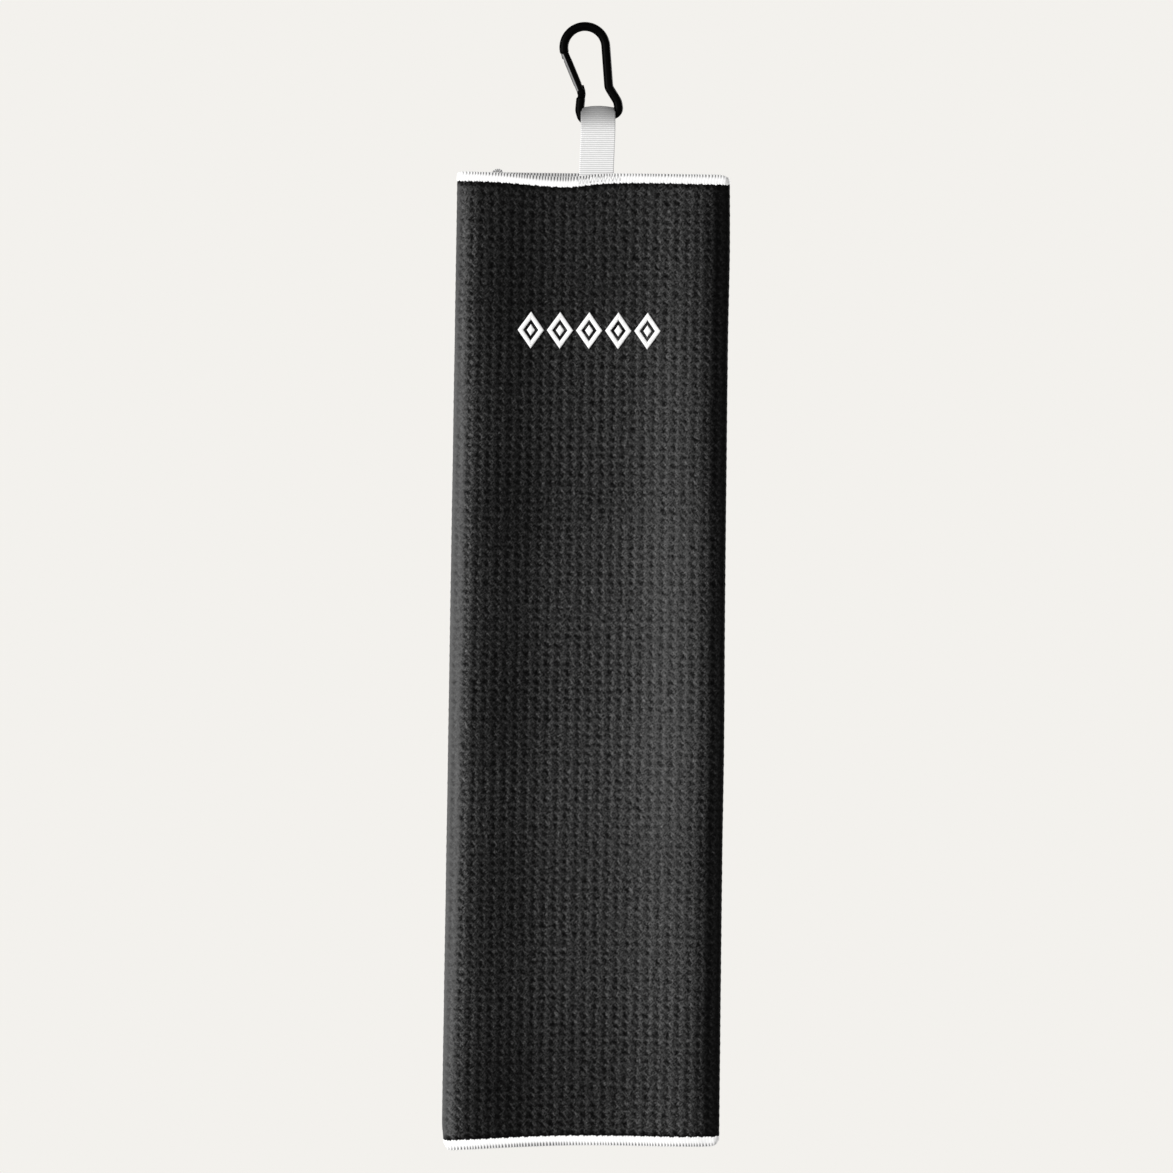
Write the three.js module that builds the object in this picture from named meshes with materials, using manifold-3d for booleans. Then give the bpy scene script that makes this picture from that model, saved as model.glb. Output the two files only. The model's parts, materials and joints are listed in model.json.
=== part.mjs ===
// Golf towel: a waffle-weave cloth folded in three, sewn to a webbing loop that hangs on a sprung clip.
// Millimetres and degrees, +Z up, the towel's face towards -Y. The origin is the inside top of the
// clip's hook, where a ring or a bag's loop bears.
import * as THREE from "three";
import { mergeVertices } from "three/addons/utils/BufferGeometryUtils.js";
import Module from "manifold-3d";

const wasm = await Module();
wasm.setup();

// Clearance between pieces that touch.
const gap = 0.3;

// Cloth.
const clothWidth = 406.4;
const clothLength = 533.4;
const clothThickness = 1.2;
const leafInset = 20;
const headHeight = 40;
const clothLean = 0.72;

// Overlocked hems.
const hemHeight = 5.3;
const hemThickness = 1.5;
const tailRadius = 0.45;
const tailLength = 3.6;

// Webbing loop.
const webbingWidth = 18.8;
const webbingThickness = 1.2;
const loopDrop = 30.3;
const loopSlack = 3;
const flexHeight = 5;
const sewnLength = 10;
const strapAlongBar = -1.8;
const eyeClearance = 0.95;
const eyeShift = -0.25;
const eyeReach = 7;
const flareDrop = 5;
const straightLeg = 6;
const lowerLegBend = 30;
const upperLegBend = 20;
const strapOffset = 2.6;

// Bar tacks that sew the webbing through every layer.
const tackWidth = 24;
const tackHeight = 3.4;
const tackTurns = 12;
const threadWidth = 0.55;

// Embroidered row of diamonds and the stabiliser behind it.
const diamondCount = 5;
const diamondWidth = 14.4;
const diamondHeight = 20.4;
const diamondPitch = 15.9;
const diamondBorder = 2.5;
const coreWidth = 4.4;
const coreHeight = 6.4;
const stitchHeight = 0.8;
const motifDrop = 86.2;
const motifOffset = -1.3;
const backingMargin = 5;
const backingThickness = 0.4;

// Clip.
const clipLean = -13.2;
const wireRadius = 2.3;
const hookRadius = 11.5;
const waistHalf = 7.8;
const waistDrop = 24.2;
const shoulderHalf = 10.7;
const shoulderDrop = 33;
const barHalf = 10.3;
const barDrop = 39.4;
const waistBend = 5;
const shoulderBend = 6;
const barBend = 3.7;

// Gate, its rivet, latch pin and leaf spring.
const pivotHalf = 7.6;
const pivotDrop = 23.9;
const gateRadius = 2.2;
const noseGap = 0.7;
const cheekHalf = 2;
const tongueThickness = 1;
const tongueRise = 4.1;
const tongueRoot = 1;
const rivetRadius = 0.8;
const rivetHeadRadius = 1.5;
const rivetHead = 0.5;
const latchPinRadius = 0.6;
const latchPinInset = 0.6;
const latchPinDrop = 2.2;
const noseTongue = 3.6;
const noseTongueWidth = 1.7;
const springWidth = 1;
const springThickness = 0.5;
const springFloor = 1.2;
const springTurn = 45;
const forkWeb = 1;

const radians = THREE.MathUtils.degToRad;
const point = (x, y) => new THREE.Vector2(x, y);

// Where a shape's own x, y and depth axes go when it stands facing the side or the front.
const sideways = new THREE.Matrix4().makeBasis(
  new THREE.Vector3(0, 1, 0),
  new THREE.Vector3(0, 0, 1),
  new THREE.Vector3(1, 0, 0),
);
const frontways = new THREE.Matrix4().makeBasis(
  new THREE.Vector3(1, 0, 0),
  new THREE.Vector3(0, 0, 1),
  new THREE.Vector3(0, -1, 0),
);

const clothMaterial = new THREE.MeshStandardMaterial({ color: 0x3a3a3b, roughness: 0.95, metalness: 0 });
const threadMaterial = new THREE.MeshStandardMaterial({ color: 0xf4f4f2, roughness: 0.6, metalness: 0 });
const webbingMaterial = new THREE.MeshStandardMaterial({ color: 0xe9e9e7, roughness: 0.7, metalness: 0 });
const backingMaterial = new THREE.MeshStandardMaterial({ color: 0xd8d8d4, roughness: 0.9, metalness: 0 });
const clipMaterial = new THREE.MeshStandardMaterial({ color: 0x0a0a0b, roughness: 0.35, metalness: 0.8 });
const steelMaterial = new THREE.MeshStandardMaterial({ color: 0xb9babc, roughness: 0.3, metalness: 1 });

function solidOf(geometry) {
  const bare = geometry.clone();
  bare.deleteAttribute("normal");
  bare.deleteAttribute("uv");
  const merged = mergeVertices(bare, 1e-4);
  const vertProperties = merged.attributes.position.array;
  const triVerts = new Uint32Array(merged.index.array);
  return new wasm.Manifold(new wasm.Mesh({ numProp: 3, vertProperties, triVerts }));
}

function geometryOf(solid) {
  const mesh = solid.getMesh();
  const geometry = new THREE.BufferGeometry();
  geometry.setAttribute("position", new THREE.BufferAttribute(mesh.vertProperties, 3));
  geometry.setIndex(new THREE.BufferAttribute(mesh.triVerts, 1));
  geometry.computeVertexNormals();
  return geometry;
}

const joined = (first, ...others) => others.reduce((whole, piece) => whole.add(piece), first);
const cut = (first, ...others) => others.reduce((whole, piece) => whole.subtract(piece), first);

// A block between two corners.
function block(low, high) {
  const size = high.map((value, axis) => value - low[axis]);
  const middle = high.map((value, axis) => (value + low[axis]) / 2);
  return new THREE.BoxGeometry(...size).translate(...middle);
}

// A round bar along Y through (x, z).
const crossBar = (radius, halfLength, x, z, sides = 20) =>
  new THREE.CylinderGeometry(radius, radius, 2 * halfLength, sides).translate(x, 0, z);

const extruded = (shape, depth) =>
  new THREE.ExtrudeGeometry(shape, { depth, bevelEnabled: false, curveSegments: 10 });

function arcPoints(centre, radius, from, to, steps) {
  return Array.from({ length: steps + 1 }, (_, i) => {
    const angle = radians(from + ((to - from) * i) / steps);
    return point(centre.x + radius * Math.cos(angle), centre.y + radius * Math.sin(angle));
  });
}

// A line of corners with each inner corner rounded to its own radius.
function roundedLine(corners, radii, steps) {
  const line = [corners[0]];
  for (let i = 1; i < corners.length - 1; i++) {
    const back = corners[i - 1].clone().sub(corners[i]).normalize();
    const ahead = corners[i + 1].clone().sub(corners[i]).normalize();
    const half = Math.acos(back.dot(ahead)) / 2;
    const radius = radii[i - 1];
    const inward = back.clone().add(ahead).normalize();
    const centre = corners[i].clone().addScaledVector(inward, radius / Math.sin(half));
    const start = corners[i].clone().addScaledVector(back, radius / Math.tan(half)).sub(centre);
    const end = corners[i].clone().addScaledVector(ahead, radius / Math.tan(half)).sub(centre);
    const from = THREE.MathUtils.radToDeg(start.angle());
    const turn = THREE.MathUtils.radToDeg(Math.atan2(start.cross(end), start.dot(end)));
    line.push(...arcPoints(centre, radius, from, from + turn, steps));
  }
  return [...line, corners.at(-1)];
}

// The outline of a strip of even thickness whose middle follows a line of points.
function ribbonShape(line, thickness) {
  const edge = (side) =>
    line.map((here, i) => {
      const before = here.clone().sub(line[Math.max(i - 1, 0)]).normalize();
      const after = line[Math.min(i + 1, line.length - 1)].clone().sub(here).normalize();
      const along = before.clone().add(after).normalize();
      const stretch = 1 / along.dot(i ? before : after);
      const normal = point(-along.y, along.x);
      return normal.multiplyScalar((side * stretch * thickness) / 2).add(here);
    });
  return new THREE.Shape([...edge(-1), ...edge(1).reverse()]);
}

// A strip whose first end is round about that end's own middle.
function roundEndedShape(x, y, length, direction, thickness) {
  const shape = new THREE.Shape();
  shape.moveTo(x, y - (direction * thickness) / 2);
  shape.lineTo(x + direction * length, y - (direction * thickness) / 2);
  shape.lineTo(x + direction * length, y + (direction * thickness) / 2);
  shape.lineTo(x, y + (direction * thickness) / 2);
  const start = direction > 0 ? Math.PI / 2 : -Math.PI / 2;
  shape.absarc(x, y, thickness / 2, start, start + Math.PI, false);
  return shape;
}

function diamondShape(width, height) {
  return new THREE.Shape([
    point(0, -height / 2),
    point(width / 2, 0),
    point(0, height / 2),
    point(-width / 2, 0),
  ]);
}

const towel = new THREE.Group();

function add(group, name, geometry, material) {
  const mesh = new THREE.Mesh(geometry, material);
  mesh.name = name;
  group.add(mesh);
  return mesh;
}

// ---- Clip. Its own frame has the hook's centre as origin and its long axis along Z.
const clip = new THREE.Group();
clip.position.set(0, 0, wireRadius - hookRadius);
clip.rotation.y = radians(clipLean);
towel.add(clip);

// The arms run tangent to the hook's arc down to the waist.
const waistReach = Math.hypot(waistHalf, waistDrop);
const waistAngle = Math.atan2(waistDrop, waistHalf);
const armTaper = THREE.MathUtils.radToDeg(waistAngle - Math.acos(hookRadius / waistReach));
const pivot = point(-pivotHalf, -pivotDrop);
const shoulder = point(-shoulderHalf, -shoulderDrop);
const upArm = pivot.clone().sub(shoulder).normalize();
const armEnd = pivot.clone().addScaledVector(upArm, -(gateRadius + gap));

function clipFrameGeometry() {
  const hook = arcPoints(point(0, 0), hookRadius, 180, -armTaper, 28);
  const corners = [
    hook.at(-1),
    point(waistHalf, -waistDrop),
    point(shoulderHalf, -shoulderDrop),
    point(barHalf, -barDrop),
    point(-barHalf, -barDrop),
    shoulder,
    armEnd,
  ];
  const bends = [waistBend, shoulderBend, barBend, barBend, shoulderBend];
  const line = [...hook.slice(0, -1), ...roundedLine(corners, bends, 5)];
  const path = new THREE.CurvePath();
  const places = line.map((place) => new THREE.Vector3(place.x, 0, place.y));
  places.slice(1).forEach((end, i) => path.add(new THREE.LineCurve3(places[i], end)));
  const section = new THREE.Shape(arcPoints(point(0, 0), wireRadius, 0, 330, 11));
  const wire = new THREE.ExtrudeGeometry(section, { steps: 90, extrudePath: path });
  const halfTongue = tongueThickness / 2;
  const ear = block(
    [pivot.x - wireRadius, -halfTongue, armEnd.y - tongueRoot],
    [pivot.x + wireRadius, halfTongue, pivot.y + tongueRise],
  );
  const noseRight = -hookRadius + latchPinInset - latchPinRadius - gap;
  const noseLeft = noseRight - noseTongueWidth;
  const nose = block([noseLeft, -halfTongue, -noseTongue], [noseRight, halfTongue, tongueRoot]);
  const rivetHole = crossBar(rivetRadius + gap, wireRadius, pivot.x, pivot.y);
  return geometryOf(cut(joined(solidOf(wire), solidOf(ear), solidOf(nose)), solidOf(rivetHole)));
}
add(clip, "clip_frame", clipFrameGeometry(), clipMaterial);

// Rivet: a shaft through cheeks and tongue with a low head on each end.
const rivetHalf = cheekHalf + gap;
const rivetProfile = [
  point(0, -rivetHalf - rivetHead),
  point(rivetHeadRadius, -rivetHalf - rivetHead / 2),
  point(rivetHeadRadius, -rivetHalf),
  point(rivetRadius, -rivetHalf),
  point(rivetRadius, rivetHalf),
  point(rivetHeadRadius, rivetHalf),
  point(rivetHeadRadius, rivetHalf + rivetHead / 2),
  point(0, rivetHalf + rivetHead),
];
const rivet = add(clip, "gate_rivet", new THREE.LatheGeometry(rivetProfile, 20), steelMaterial);
rivet.position.set(pivot.x, 0, pivot.y);

// The gate's own frame has the pivot as origin and the gate along Z.
const gate = new THREE.Group();
const gateReach = Math.hypot(hookRadius - pivotHalf, pivotDrop);
const gateLength = gateReach - noseGap;
gate.position.set(pivot.x, 0, pivot.y);
gate.rotation.y = -Math.atan2(hookRadius - pivotHalf, pivotDrop);
clip.add(gate);

// The fork's slot clears the turning tongue, and the spring's groove starts a web above it.
const slotTop = Math.hypot(wireRadius, tongueRise) + gap;
const grooveStart = slotTop + forkWeb;

function gateGeometry() {
  const rod = new THREE.CylinderGeometry(gateRadius, gateRadius, gateLength, 24)
    .rotateX(Math.PI / 2)
    .translate(0, 0, gateLength / 2);
  const halfSlot = tongueThickness / 2 + gap;
  const slot = (bottom, top) => block([-2 * gateRadius, -halfSlot, bottom], [2 * gateRadius, halfSlot, top]);
  const tongueSlot = slot(-2 * gateRadius, slotTop);
  const noseSlot = slot(gateLength - noseTongue - gap, gateReach);
  const grooveHalf = springWidth / 2 + gap;
  const groove = block([-grooveHalf, -2 * gateRadius, grooveStart], [grooveHalf, -springFloor, gateReach])
    .rotateZ(-radians(springTurn));
  return geometryOf(
    cut(
      joined(solidOf(rod), solidOf(crossBar(gateRadius, cheekHalf, 0, 0, 24))),
      solidOf(tongueSlot),
      solidOf(noseSlot),
      solidOf(groove),
      solidOf(crossBar(rivetRadius + gap, gateRadius, 0, 0)),
      solidOf(crossBar(latchPinRadius + gap, gateRadius, latchPinInset, gateLength - latchPinDrop)),
    ),
  );
}
add(gate, "gate", gateGeometry(), clipMaterial);

const latchPinHalf = Math.sqrt(gateRadius ** 2 - (latchPinInset + latchPinRadius) ** 2);
add(
  gate,
  "latch_pin",
  crossBar(latchPinRadius, latchPinHalf, latchPinInset, gateLength - latchPinDrop, 16),
  steelMaterial,
);

// The leaf spring lies in the gate's groove, clear of its floor, from above the fork to the tip.
const spring = add(
  gate,
  "gate_spring",
  block(
    [-springWidth / 2, -springFloor - gap - springThickness, grooveStart + gap],
    [springWidth / 2, -springFloor - gap, gateLength - gap],
  ),
  steelMaterial,
);
spring.rotation.z = -radians(springTurn);

// ---- Webbing loop, in the whole towel's frame.
const lean = radians(clipLean);
const strapX = -Math.sin(lean) * barDrop + strapAlongBar * Math.cos(lean);
const barZ = clip.position.z - Math.cos(lean) * barDrop - strapAlongBar * Math.sin(lean);
const topZ = barZ - loopDrop;
const flexZ = topZ + flexHeight;
const legY = (webbingThickness + gap) / 2;
const loopHalf = wireRadius + gap + webbingThickness / 2;
const legsHalf = webbingThickness + gap / 2;
const eyeHalf = barHalf - wireRadius - eyeClearance;

function loopGeometry() {
  const legEnd = flexZ + legsHalf + gap;
  const side = [
    point(-legY, legEnd),
    point(-legY, legEnd + straightLeg),
    point(-loopHalf, barZ - flareDrop),
    point(-loopHalf, barZ + loopSlack),
  ];
  const front = roundedLine(side, [lowerLegBend, upperLegBend], 6);
  const arch = arcPoints(point(0, barZ + loopSlack), loopHalf, 180, 0, 14);
  const back = front.slice(0, -1).reverse().map((place) => point(-place.x, place.y));
  const profile = ribbonShape([...front.slice(0, -1), ...arch, ...back], webbingThickness);
  const strap = extruded(profile, webbingWidth)
    .applyMatrix4(sideways)
    .translate(strapX - webbingWidth / 2, 0, 0);
  // The webbing narrows where it passes between the clip's two sides.
  const eyeX = -Math.sin(lean) * barDrop + eyeShift;
  const deep = 2 * loopHalf;
  const notches = [-1, 1].map((direction) => {
    const near = eyeX + direction * eyeHalf;
    const far = eyeX + direction * webbingWidth;
    return block(
      [Math.min(near, far), -deep, barZ - eyeReach],
      [Math.max(near, far), deep, barZ + loopSlack + deep],
    );
  });
  return geometryOf(cut(solidOf(strap), ...notches.map(solidOf)));
}
add(towel, "webbing_loop", loopGeometry(), webbingMaterial);

// ---- Folded cloth. Its frame has the middle of the strap at the top edge as origin.
const folded = new THREE.Group();
folded.position.set(strapX, 0, topZ);
folded.rotation.y = radians(clothLean);
towel.add(folded);

// Layers from front to back: front panel, the strap's sewn ends, inner leaf, outer leaf.
const frontY = -(webbingThickness + gap / 2 + gap + hemThickness / 2);
const innerY = -frontY;
const outerY = innerY + hemThickness + gap;
const leftRadius = (innerY - frontY) / 2;
const rightRadius = (outerY - frontY) / 2;
// The front's flat width and two equal leaves, each stopping an inset short of the other fold, use up
// the cloth's width together with the two bends.
const bendLength = Math.PI * (leftRadius + rightRadius);
const frontWidth = (clothWidth - bendLength + 2 * leafInset) / 3;
const leafWidth = frontWidth - leafInset;
const foldedWidth = frontWidth + leftRadius + rightRadius + hemThickness;
const leftX = -strapOffset - foldedWidth / 2 + leftRadius + hemThickness / 2;
const rightX = leftX + frontWidth;
const hingeInset = hemThickness / 2 + gap;
const clothTop = -hemHeight - gap;
const clothBottom = gap + hemHeight - clothLength;

const leftCentre = point(leftX, (frontY + innerY) / 2);
const rightCentre = point(rightX, (frontY + outerY) / 2);
const leftBend = arcPoints(leftCentre, leftRadius, 90, 270, 12);
const rightBend = arcPoints(rightCentre, rightRadius, -90, 90, 12);

// A piece of the fold with this plan, from one height down to another.
const standing = (shape, top, bottom) => extruded(shape, top - bottom).translate(0, 0, bottom);

add(
  folded,
  "front_panel",
  block(
    [leftX + gap, frontY - clothThickness / 2, clothBottom],
    [rightX - gap, frontY + clothThickness / 2, clothTop],
  ),
  clothMaterial,
);
for (const [name, bend] of [["left_fold", leftBend], ["right_fold", rightBend]]) {
  const shape = ribbonShape(bend, clothThickness);
  add(folded, name, standing(shape, clothTop, clothBottom), clothMaterial);
}

// Each leaf: a head sewn at the top, the free leaf below it, and the hems along its edges.
const leaves = [
  { name: "inner_leaf", x: leftX, y: innerY, direction: 1 },
  { name: "outer_leaf", x: rightX, y: outerY, direction: -1 },
];
for (const { name, x, y, direction } of leaves) {
  const strip = (from, to, thickness, top, bottom) => {
    const ends = [x + direction * from, x + direction * to];
    return block(
      [Math.min(...ends), y - thickness / 2, bottom],
      [Math.max(...ends), y + thickness / 2, top],
    );
  };
  const hinged = (to, thickness, top, bottom) =>
    standing(
      roundEndedShape(x + direction * hingeInset, y, to - hingeInset, direction, thickness),
      top,
      bottom,
    );
  const freeTop = -headHeight - gap;
  const clothEdge = leafWidth - hemHeight - gap;
  const hemEdge = leafWidth - hemHeight;
  const head = strip(gap, clothEdge, clothThickness, clothTop, -headHeight);
  const leaf = hinged(clothEdge, clothThickness, freeTop, clothBottom);
  const headSideHem = strip(hemEdge, leafWidth, hemThickness, clothTop, -headHeight);
  const sideHem = strip(hemEdge, leafWidth, hemThickness, freeTop, clothBottom);
  const bottomHem = hinged(leafWidth, hemThickness, clothBottom - gap, -clothLength);
  add(folded, name + "_head", head, clothMaterial);
  add(folded, name, leaf, clothMaterial);
  add(folded, name + "_head_side_hem", headSideHem, threadMaterial);
  add(folded, name + "_side_hem", sideHem, threadMaterial);
  add(folded, name + "_bottom_hem", bottomHem, threadMaterial);
}

// The top hem follows the whole fold; the bottom hem follows the front and both bends.
const innerEnd = point(leftX + leafWidth, innerY);
const outerEnd = point(rightX - leafWidth, outerY);
const wholeFold = [innerEnd, ...leftBend, ...rightBend, outerEnd];
add(folded, "top_hem", standing(ribbonShape(wholeFold, hemThickness), 0, -hemHeight), threadMaterial);
add(
  folded,
  "bottom_hem",
  standing(ribbonShape([...leftBend, ...rightBend], hemThickness), clothBottom - gap, -clothLength),
  threadMaterial,
);

// The overlock's thread end curls up from the outer leaf's free corner.
function threadTailGeometry() {
  const route = new THREE.QuadraticBezierCurve3(
    new THREE.Vector3(0, 0, 0),
    new THREE.Vector3(0, 0, tailLength),
    new THREE.Vector3(tailLength, 0, tailLength * 0.75),
  );
  const section = new THREE.Shape(arcPoints(point(0, 0), tailRadius, 0, 315, 7));
  return new THREE.ExtrudeGeometry(section, { steps: 10, extrudePath: route });
}
const threadTail = add(folded, "thread_tail", threadTailGeometry(), threadMaterial);
threadTail.position.set(outerEnd.x + 2 * tailRadius, outerY, gap);

// ---- The strap's sewn ends and the two bar tacks over them.
for (const [name, side] of [["strap_front_end", -1], ["strap_rear_end", 1]]) {
  const faces = [(side * gap) / 2, side * (gap / 2 + webbingThickness)];
  add(
    folded,
    name,
    block(
      [-webbingWidth / 2, Math.min(...faces), -sewnLength],
      [webbingWidth / 2, Math.max(...faces), flexHeight],
    ),
    webbingMaterial,
  );
}

function tackGeometry() {
  const line = Array.from({ length: 2 * tackTurns + 1 }, (_, i) =>
    point(-tackWidth / 2 + (tackWidth * i) / (2 * tackTurns), ((i % 2) - 0.5) * tackHeight));
  return extruded(ribbonShape(line, threadWidth), threadWidth)
    .applyMatrix4(frontways)
    .translate(0, threadWidth / 2, -hemHeight / 2);
}
const tackStand = hemThickness / 2 + gap + threadWidth / 2;
add(folded, "front_bar_tack", tackGeometry(), threadMaterial).position.y = frontY - tackStand;
add(folded, "rear_bar_tack", tackGeometry(), threadMaterial).position.y = outerY + tackStand;

// ---- Embroidery: a row of diamond borders, each with a small diamond in it.
const motifX = -strapOffset + motifOffset;
const motifY = frontY - clothThickness / 2 - gap;
for (let i = 0; i < diamondCount; i++) {
  const x = motifX + (i - (diamondCount - 1) / 2) * diamondPitch;
  const border = diamondShape(diamondWidth, diamondHeight);
  // The border's inner outline lies the border's width in from each slanting side.
  const slant = Math.hypot(diamondWidth, diamondHeight);
  const inside = 1 - (2 * diamondBorder * slant) / (diamondWidth * diamondHeight);
  const opening = diamondShape(diamondWidth * inside, diamondHeight * inside);
  border.holes.push(new THREE.Path(opening.getPoints().reverse()));
  const core = diamondShape(coreWidth, coreHeight);
  for (const [name, shape] of [["diamond_", border], ["diamond_core_", core]]) {
    const geometry = extruded(shape, stitchHeight).applyMatrix4(frontways);
    add(folded, name + (i + 1), geometry, threadMaterial).position.set(x, motifY, -motifDrop);
  }
}

const backingHalfWidth = ((diamondCount - 1) * diamondPitch + diamondWidth) / 2 + backingMargin;
const backingHalfHeight = diamondHeight / 2 + backingMargin;
const backingY = frontY + clothThickness / 2 + gap;
add(
  folded,
  "embroidery_backing",
  block(
    [motifX - backingHalfWidth, backingY, -motifDrop - backingHalfHeight],
    [motifX + backingHalfWidth, backingY + backingThickness, -motifDrop + backingHalfHeight],
  ),
  backingMaterial,
);

export default towel;
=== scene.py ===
"""Looks of a waffle-weave golf towel, folded in three and hung by a webbing loop on a sprung clip.

Lengths are millimetres and angles degrees, as in the CAD, until mesh_from() writes metres.
The cloth is laid out flat in the fold's own frame first: x across the towel from the middle of the
strap, y towards the back, z up from the top edge. settle() then lets it hang.
"""
import json
import math

import bpy
import numpy as np
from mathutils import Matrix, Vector


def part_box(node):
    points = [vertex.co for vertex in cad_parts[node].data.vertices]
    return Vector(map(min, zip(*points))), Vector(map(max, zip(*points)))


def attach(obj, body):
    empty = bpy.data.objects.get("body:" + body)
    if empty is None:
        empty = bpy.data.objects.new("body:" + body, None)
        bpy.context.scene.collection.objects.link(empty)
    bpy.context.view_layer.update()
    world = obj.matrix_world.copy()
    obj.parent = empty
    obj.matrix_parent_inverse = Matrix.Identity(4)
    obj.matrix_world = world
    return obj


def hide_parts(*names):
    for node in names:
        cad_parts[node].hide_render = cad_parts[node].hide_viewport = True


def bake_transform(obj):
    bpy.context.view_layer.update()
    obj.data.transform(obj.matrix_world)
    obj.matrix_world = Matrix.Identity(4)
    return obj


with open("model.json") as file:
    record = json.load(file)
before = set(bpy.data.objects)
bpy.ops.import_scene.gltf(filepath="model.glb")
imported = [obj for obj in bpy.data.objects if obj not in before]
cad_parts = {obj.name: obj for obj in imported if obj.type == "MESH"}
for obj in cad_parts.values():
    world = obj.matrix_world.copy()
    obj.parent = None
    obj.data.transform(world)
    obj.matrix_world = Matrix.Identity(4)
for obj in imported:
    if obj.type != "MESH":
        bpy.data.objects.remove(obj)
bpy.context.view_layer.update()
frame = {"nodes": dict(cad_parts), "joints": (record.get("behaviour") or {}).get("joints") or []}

METRE = 1000.0

# Layers and folds.
CLOTH_HALF = 0.34
CLOTH_LENGTH = 533.4
FRONT_WIDTH = 142.83
LEAF_WIDTH = 122.83
HEM_HEIGHT = 5.3
HEM_HALF = 0.8
GAP = 0.3
LEFT_X, RIGHT_X = -74.465, 68.366
FRONT_Y, INNER_Y, OUTER_Y = -2.4, 2.4, 4.2
LEFT_RADIUS = (INNER_Y - FRONT_Y) / 2
RIGHT_RADIUS = (OUTER_Y - FRONT_Y) / 2
LEFT_BEND = math.pi * LEFT_RADIUS
RIGHT_BEND = math.pi * RIGHT_RADIUS
FOLD_LENGTH = LEFT_BEND + FRONT_WIDTH + RIGHT_BEND
TUCK_LENGTH, TUCK_DEPTH = 4.0, 1.35
CLOTH_TOP = -HEM_HEIGHT + 1.2
CLOTH_BOTTOM = -CLOTH_LENGTH + HEM_HEIGHT - 1.2
HINGE_INSET = 1.05
LEAF_TWIST_START, LEAF_TWIST_END = -42.0, -330.0

# Waffle weave.
CELL_WIDTH, CELL_HEIGHT = 5.6, 4.95
RELIEF = 0.42
LOOP_PHASE, PIT_PHASE, ROW_PHASE = 4.5, 1.6, 3.0
LOOP_SLANT, PIT_SLANT = -0.45, 1.25
PIT_DEPTH = 0.79

# Overlock stitches.
STITCH_PITCH = 1.6
STITCH_STEPS = 6

# Webbing.
STRAP_HALF = 9.4
STRAP_THICKNESS = 1.2
RIB_PITCH = 1.1
LOOP_DROP, LOOP_SLACK, FLEX_HEIGHT = 30.3, 3.0, 5.0
SEWN_LENGTH = 10.0

# Embroidery.
DIAMOND_COUNT, DIAMOND_PITCH = 5, 15.9
DIAMOND_WIDTH, DIAMOND_HEIGHT, DIAMOND_BORDER = 14.4, 20.4, 2.5
CORE_WIDTH, CORE_HEIGHT = 4.4, 6.4
STITCH_HEIGHT = 0.8
SATIN_PITCH = 0.5
MOTIF_X, MOTIF_DROP = -3.9, 86.2
PATCH_WIDTH = (DIAMOND_COUNT - 1) * DIAMOND_PITCH + DIAMOND_WIDTH + 10
PATCH_HEIGHT = DIAMOND_HEIGHT + 10

# Clip.
WIRE_RADIUS, WIRE_COATING, WIRE_STEP = 2.3, 0.18, 0.5
HOOK_RADIUS = 11.5
STRAP_ALONG_BAR = -1.8
BAR_DROP = 39.4
CLIP_CORNERS = [(7.8, -24.2), (10.7, -33.0), (10.3, -39.4), (-10.3, -39.4), (-10.7, -33.0)]
CLIP_BENDS = [5.0, 6.0, 3.7, 3.7, 6.0]
PIVOT = np.array([-7.6, -23.9])
PIN_RADIUS, PIN_INSET, PIN_DRAWN_RADIUS = 0.6, 0.6, 0.87
SPRING_HALF_WIDTH, SPRING_HALF_THICKNESS, SPRING_OUT = 0.74, 0.24, 2.06
EAR_TOP = 4.1
TONGUE_HALF = 0.5

joints = {joint["name"]: joint for joint in frame["joints"]}


def joint_place(name):
    """The joint's point in millimetres and its axis."""
    return np.array(joints[name]["pos_m"]) * METRE, np.array(joints[name]["axis"], float)


flex_place, _ = joint_place("towel_flex")
_, fold_up = joint_place("inner_leaf_fold")
bar_place, bar_along = joint_place("loop_swing")
fold_across = np.array([fold_up[2], 0.0, -fold_up[0]])
fold_origin = flex_place - np.array([0, 0, FLEX_HEIGHT])
clip_up = np.array([-bar_along[2], 0.0, bar_along[0]])
clip_origin = bar_place - STRAP_ALONG_BAR * bar_along + BAR_DROP * clip_up
bar_z = bar_place[2]
strap_x = bar_place[0]


def from_fold(x, y, z):
    """Points of the fold's own frame in the row frame."""
    x, y, z = np.broadcast_arrays(x, y, z)
    turned = x[..., None] * fold_across + z[..., None] * fold_up + fold_origin
    turned[..., 1] += y
    return turned


def from_clip(x, y, z):
    """Points of the clip's own frame, from the middle of its hook, in the row frame."""
    x, y, z = np.broadcast_arrays(x, y, z)
    turned = x[..., None] * bar_along + z[..., None] * clip_up + clip_origin
    turned[..., 1] += y
    return turned


def ease(value, low, high):
    """0 below low, 1 above high, and 3t^2 - 2t^3 between."""
    t = np.clip((value - low) / (high - low), 0, 1)
    return t * t * (3 - 2 * t)


def hill(value, middle, width):
    """A bell of height 1 round the middle."""
    return np.exp(-0.5 * ((value - middle) / width) ** 2)


# ---- Meshes
def grid_quads(rows, columns, wrap=False, first=0):
    """Quads between the points of a grid numbered row by row; wrap joins the last column to column 0."""
    row = np.arange(rows - 1)[:, None]
    column = np.arange(columns if wrap else columns - 1)[None, :]
    after = (column + 1) % columns
    corners = [row * columns + column, row * columns + after]
    corners += [(row + 1) * columns + after, (row + 1) * columns + column]
    return np.stack(np.broadcast_arrays(*corners), -1).reshape(-1, 4) + first


def ladder(ring):
    """Quads that close a ring of an even count by joining each point to the one across from it."""
    i = np.arange(len(ring) // 2 - 1)
    return np.stack([ring[i], ring[i + 1], ring[-2 - i], ring[-1 - i]], -1)


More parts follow.
